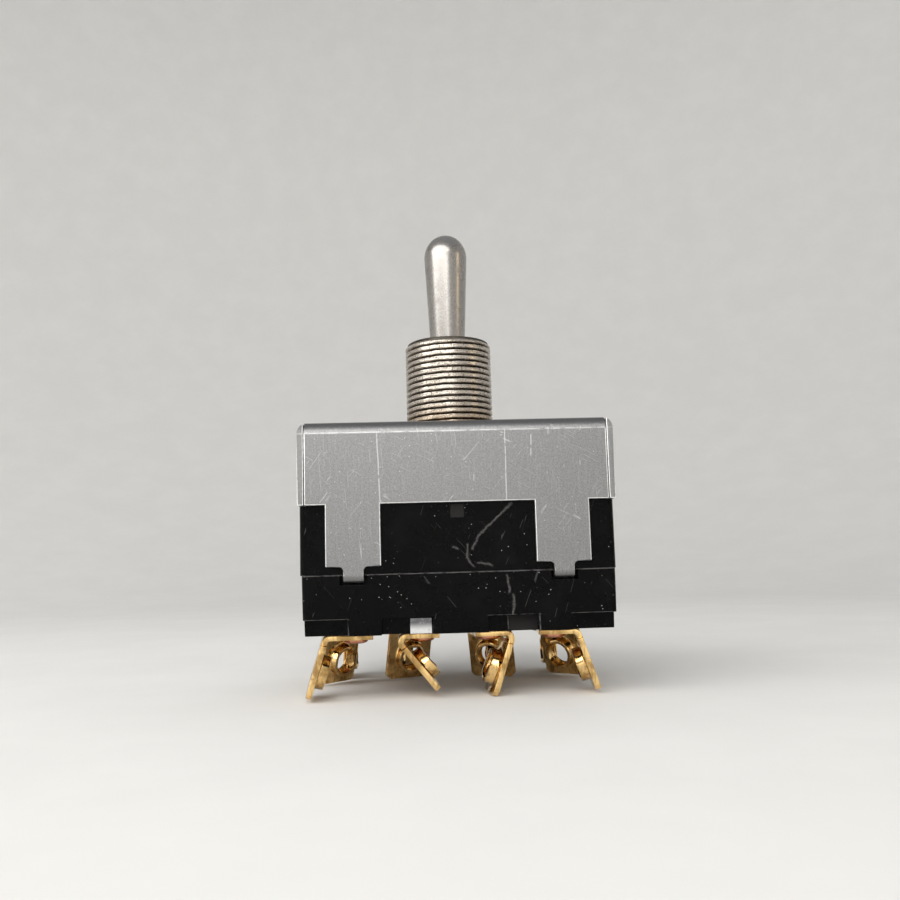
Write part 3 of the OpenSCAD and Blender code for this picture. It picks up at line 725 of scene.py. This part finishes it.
# %% Sizes, strip and collar of a lug
STRIP_T, TAB_W, TAB_L, BEND_R = 0.7, 6.3, 6.8, 0.4
HEAD_R, FOOT_GAP, HEEL, CORNER = 1.55, 0.06, 2.0, 0.5
SCREW_R, COLLAR_R, COLLAR_H, RING_R = 1.5, 2.05, 1.1, 2.5
BASE_Z, ROW = 25.55, 10.5
COLUMNS = [-12.8, -4.6, 3.6, 11.8]
OUTER_R = BEND_R + STRIP_T
HOLE = TAB_L - TAB_W / 2
# Points round the hole, rows down its bore, and the depth of the thread in it
AROUND, BORE_ROWS, LUG_THREAD = 48, 26, 0.3


def strip_outline(half, ease):
    """Cross-section of the strip as (across, through), eased, with a point mid-face."""
    low, high = BEND_R, OUTER_R
    corners = []
    for sy, sw, start in ((1, 1, 0), (-1, 1, 90), (-1, -1, 180), (1, -1, 270)):
        cy, cw = sy * (half - ease), (high - ease if sw > 0 else low + ease)
        for k in (0, 1, 2):
            a = math.radians(start + 45 * k)
            corners.append((cy + ease * math.cos(a), cw + ease * math.sin(a)))
    return corners[:3] + [(0, high)] + corners[3:9] + [(0, low)] + corners[9:]


def collar(column, row):
    """Rings of (along, across, through) about the hole, from the plain face inwards."""
    rim_w = BEND_R - COLLAR_H
    lead_in = [(RING_R, OUTER_R), (SCREW_R + 0.25, OUTER_R), (SCREW_R + 0.12, OUTER_R - 0.08)]
    bore = [(SCREW_R, w) for w in np.linspace(OUTER_R - 0.14, rim_w + 0.12, BORE_ROWS)]
    rim = [(SCREW_R + 0.14, rim_w), (COLLAR_R - 0.14, rim_w), (COLLAR_R - 0.04, rim_w + 0.04)]
    outside = [(COLLAR_R, rim_w + 0.14), (COLLAR_R + 0.02, BEND_R - 0.28),
               (COLLAR_R + 0.08, BEND_R - 0.12), (COLLAR_R + 0.2, BEND_R - 0.03), (RING_R, BEND_R)]
    first, last = len(lead_in), len(lead_in) + len(bore)
    rings = []
    for n, (r, w) in enumerate(lead_in + bore + rim + outside):
        # The thread fades in and out over four rows, and the punch tears the rim
        fade = min(1.0, (n - first + 1) / 4, (last - n) / 4) if first <= n < last else 0
        torn = last <= n < last + len(rim)
        ring = []
        for k in range(AROUND):
            a = 2 * math.pi * k / AROUND
            share = ((w - rim_w) / PITCH - k / AROUND + 0.1 * column) % 1.0
            radius = r + fade * LUG_THREAD * (1 - abs(share * 2 - 1))
            ragged = 0.045 * math.sin(3 * a + column) + 0.03 * math.sin(7 * a + 2 * row)
            ring.append((HOLE + radius * math.cos(a), radius * math.sin(a),
                         w + (ragged if torn else 0)))
        rings.append(ring)
    return rings


def woven(first, rows, size, left_open=()):
    """Faces between rows of points that start at first, but for the (row, place) left open."""
    return [(first + r * size + k, first + r * size + (k + 1) % size,
             first + (r + 1) * size + (k + 1) % size, first + (r + 1) * size + k)
            for r in range(rows - 1) for k in range(size) if (r, k) not in left_open]


print("hole at", round(HOLE, 2), "mm along each tab,", len(collar(0, 0)), "rings in a collar")

# %% [markdown]
# ## Bending each lug
# The strip runs flat from the heel, round the bend, and down the tab. Each row
# of its points is one cross-section, so the bend is only rows that turn. Both
# faces of the strip are left open where the hole goes, and the first and last
# rings of the collar close them.

# %% All lugs
def lug(name, node, column, row, turn, fold, extra):
    """One bent strip with its drawn collar, turned about its rivet and placed on the base."""
    fold, turn = math.radians(fold), math.radians(turn)
    bend_x = HEAD_R + FOOT_GAP + extra
    cx, cy = COLUMNS[column], row * ROW

    def place(x, y, z):
        """A point of the lug, turned about the rivet and brought under the base."""
        return (cx + x * math.cos(turn) - y * math.sin(turn),
                cy + x * math.sin(turn) + y * math.cos(turn), -BASE_Z + z)

    def on_tab(d, y, w):
        """A point on the bent tab: this far along, across and through it."""
        return place(bend_x + d * math.cos(fold) + w * math.sin(fold), y,
                     -OUTER_R - d * math.sin(fold) + w * math.cos(fold))

    def section(way, at, half, ease):
        """One cross-section of the strip, on its foot, in its bend or on its tab."""
        outline = strip_outline(half, ease)
        if way == "foot":
            return [place(at, y, w - OUTER_R) for y, w in outline]
        if way == "bend":
            return [place(bend_x + w * math.sin(at), y, -OUTER_R + w * math.cos(at))
                    for y, w in outline]
        return [on_tab(at, y, w) for y, w in outline]

    half, ease = TAB_W / 2, 0.05
    rows = [section("foot", -HEEL, half - 0.05, 0.2), section("foot", -HEEL + 0.08, half, ease)]
    rows += [section("bend", fold * k / 10, half, ease) for k in range(11)]
    # The edge of the forming tool leaves a fine nick where the bend ends
    rows += [section("tab", 0.25, half, ease), section("tab", 0.33, half - 0.08, 0.16),
             section("tab", 0.41, half, ease)]
    hole_row = len(rows) - 1
    rows += [section("tab", TAB_L - CORNER, half, ease),
             section("tab", TAB_L - 0.09, half - CORNER + 0.08, ease),
             section("tab", TAB_L - 0.01, half - CORNER - 0.03, 0.2)]
    size, first = len(rows[0]), len(rows) * len(rows[0])
    # Outline places: 2-3-4 are the outer face, 9-10-11 the inner one
    pierced = {(hole_row, k) for k in (2, 3, 9, 10)}
    faces = [tuple(range(size))[::-1], tuple(range(first - size, first))]
    faces += woven(0, len(rows), size, pierced)
    rings = collar(column, row)
    faces += woven(first, len(rings), AROUND)
    points = [p for r in rows for p in r] + [on_tab(*p) for ring in rings for p in ring]
    # Each pierced face is two half plates round the ring that the collar starts from
    near, far = hole_row * size, (hole_row + 1) * size
    for ring, (right, middle, left) in ((0, (2, 3, 4)), (len(rings) - 1, (11, 10, 9))):
        start = first + ring * AROUND
        for side, sign in ((right, 1), (left, -1)):
            half_ring = [start + (sign * k) % AROUND for k in range(AROUND // 2 + 1)]
            faces.append(tuple([near + middle, near + side, far + side, far + middle] + half_ring))
    piece(name, points, faces, BRASS, "housing", [node], 34)


BENDS = {  # row: (place, turns, folds, extra lengths before the bend)
    "front": (-1, [186, 182, 6, -5], [73, 129, 109, 72], [1.5, 0.3, 0, 0.55]),
    "centre": (0, [140, 115, 68, 47], [77, 74, 77, 76], [1.1, 1.1, 0.9, 1.6]),
    "rear": (1, [180, 180, 0, 0], [90, 90, 90, 90], [0.3, 0.3, 0.3, 0.3]),
}
for row_name, (row, *each) in BENDS.items():
    for i, (turn, fold, extra) in enumerate(zip(*each)):
        lug(f"{row_name}_lug_{i + 1}", f"{row_name}_terminal_{i + 1}", i, row, turn, fold, extra)

# %% [markdown]
# ## The rivets
# A rivet clamps each lug's foot to the base. Its head is a low dome with a
# shallow dent from the setting punch, so a lathe outline is all that it needs.

# %% Rivets
RIVET_R, HEAD_H, FLOOR_T = 1.1, 0.6, 3.5


def rivet_row(name, node, row, rise, clench):
    """Four rivets as one piece. Their shanks end at the floor plus rise, in a head if clenched."""
    low = -BASE_Z - STRIP_T - HEAD_H
    top = -BASE_Z + FLOOR_T + rise
    outline = [(0, low + 0.16), (0.35, low + 0.14), (0.6, low + 0.05), (0.78, low),
               (1.05, low + 0.02), (1.3, low + 0.1), (1.47, low + 0.22), (HEAD_R, low + 0.38),
               (HEAD_R, low + HEAD_H), (RIVET_R, low + HEAD_H), (RIVET_R, top)]
    if clench:
        outline += [(HEAD_R, top), (HEAD_R - 0.1, top + clench * 0.8), (HEAD_R - 0.4, top + clench)]
        top += clench
    outline += [(0, top)]
    points, faces = [], []
    for x in COLUMNS:
        more, skin = swung(outline, 40, (x, row * ROW))
        faces += [tuple(k + len(points) for k in face) for face in skin]
        points += more
    piece(name, points, faces, COPPER, "housing", [node], 40)


for row_name, row, rise, clench in (
        ("front", -1, 0, 0), ("centre", 0, 0.7, 0.4), ("rear", 1, 0, 0)):
    rivet_row(f"{row_name}_rivet_heads", f"{row_name}_rivets", row, rise, clench)

# %% [markdown]
# ## The pieces inside
# Carriage, plungers, springs, rockers, saddles and contacts keep their packed
# shape, because only a section would show them. Each still gets its finish.

# %% Finishes for the inner pieces
INNER = {"seat_ring": PLAIN_BRASS, "pivot_pin": SPRING, "gasket": FIBRE, "carriage": BROWN_RESIN,
         "plunger_spring": SPRING, "plunger": PLAIN_BRASS, "rocker": PLAIN_BRASS,
         "saddle": PLAIN_BRASS, "front_contacts": SILVER, "rear_contacts": SILVER}
dressed = 0
for node, obj in nodes.items():
    kind = next((k for k in INNER if node.startswith(k)), None)
    if kind:
        for holder in obj.material_slots:
            holder.material = INNER[kind]
        dressed += 1
print("inner pieces dressed:", dressed)

# %% [markdown]
# ## The stage
# A round floor that curves up into a wall is plain from every side, so no edge
# of it ever shows behind the switch. It is one more lathe outline, and its
# pale paper keeps metal from mirroring black.

# %% Floor and backdrop
FLAT_R, CURVE_R, CLEARANCE = 250, 350, 0.02
floor_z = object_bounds()[0].z / MM - CLEARANCE
curve = [math.radians(a) for a in range(6, 91, 6)]
bowl = [(0, floor_z), (FLAT_R, floor_z)]
bowl += [(FLAT_R + CURVE_R * math.sin(a), floor_z + CURVE_R - CURVE_R * math.cos(a)) for a in curve]
bowl += [(FLAT_R + CURVE_R, floor_z + 2 * CURVE_R)]
stage_points, stage_faces = swung(bowl, 96)
stage_mesh = bpy.data.meshes.new("floor")
stage_mesh.from_pydata([tuple(c * MM for c in p) for p in stage_points], [], stage_faces)
for face in stage_mesh.polygons:
    face.use_smooth = True
floor = bpy.data.objects.new("floor", stage_mesh)
scene.collection.objects.link(floor)
paper = Finish("pale_paper", (0.74, 0.735, 0.72), 0.0, 0.8)
paper.tint(paper.band(paper.noise(0.05, 3), 0.3, 0.8), (0.77, 0.765, 0.75))
stage_mesh.materials.append(paper.done())

# %% [markdown]
# ## Light
# One large soft lamp stands to the upper left and gives metal long, calm
# highlights. A weak warm one to the right keeps that side from going flat, and
# an even sky fills what is left. The lamps themselves stay out of the picture.

# %% Lamps and sky
AIM = Vector((0, 0, -5))


def soft_lamp(name, where, wide, high, watts, colour):
    """A rectangular lamp of this many millimetres, turned towards the switch."""
    lamp = bpy.data.lights.new(name, "AREA")
    lamp.shape, lamp.size, lamp.size_y = "RECTANGLE", wide * MM, high * MM
    lamp.energy, lamp.color = watts, colour
    obj = bpy.data.objects.new(name, lamp)
    obj.location = Vector(where) * MM
    obj.rotation_euler = (Vector(where) - AIM).to_track_quat("Z", "Y").to_euler()
    obj.visible_camera = False
    scene.collection.objects.link(obj)
    print("lamp", name, "gives", watts, "W")


soft_lamp("key_lamp", (-190, -295, 235), 760, 300, 2.7, (1.0, 0.985, 0.96))
soft_lamp("fill_lamp", (296, -120, 110), 60, 70, 0.03, (1.0, 0.74, 0.42))
sky = bpy.data.worlds.new("studio_sky")
scene.world = sky
sky.use_nodes = True
backdrop = sky.node_tree.nodes["Background"]
backdrop.inputs["Color"].default_value = (0.97, 0.98, 1.0, 1)
backdrop.inputs["Strength"].default_value = 0.5

# %% [markdown]
# ## Camera
# The camera stands close in front, a little below the frame, so perspective is
# strong and both visible rows of lugs show. Three turns and a shift say how the
# switch lies before the lens, and turned round they say where the camera is.

# %% Camera
FOCAL_PX, FRAME_PX, SENSOR = 900.0, 900.0, 36
CLIP_START, CLIP_END = 0.005, 10
TURN_X, TURN_Y, TURN_Z = -0.12157, -0.03955, -0.02264
SHIFT = Vector((0.03357, -1.80027, 125.2558))
camera_data = bpy.data.cameras.new("camera")
camera = bpy.data.objects.new("camera", camera_data)
scene.collection.objects.link(camera)
camera_data.sensor_width = SENSOR
camera_data.lens = SENSOR * FOCAL_PX / FRAME_PX
camera_data.clip_start, camera_data.clip_end = CLIP_START, CLIP_END


def turned(letter, angle):
    """A turn about one axis, as a matrix."""
    return Matrix.Rotation(angle, 3, letter)


looks = turned("Z", TURN_Z) @ turned("Y", TURN_Y) @ turned("X", TURN_X)
to_picture = looks @ Matrix(((1, 0, 0), (0, 0, -1), (0, 1, 0)))
stands = to_picture.transposed() @ -SHIFT
aims = to_picture.transposed() @ Matrix.Diagonal((1, -1, -1))
camera.matrix_world = Matrix.Translation(stands * MM) @ aims.to_4x4()
scene.camera = camera
scene.view_settings.view_transform = "Standard"
print("camera stands at", [round(v, 1) for v in stands], "mm")

# %% [markdown]
# ## The end
# The box round the dressed pieces should lie inside the box of the packed
# solids, because easing only takes metal away.

# %% The end
bpy.context.view_layer.update()
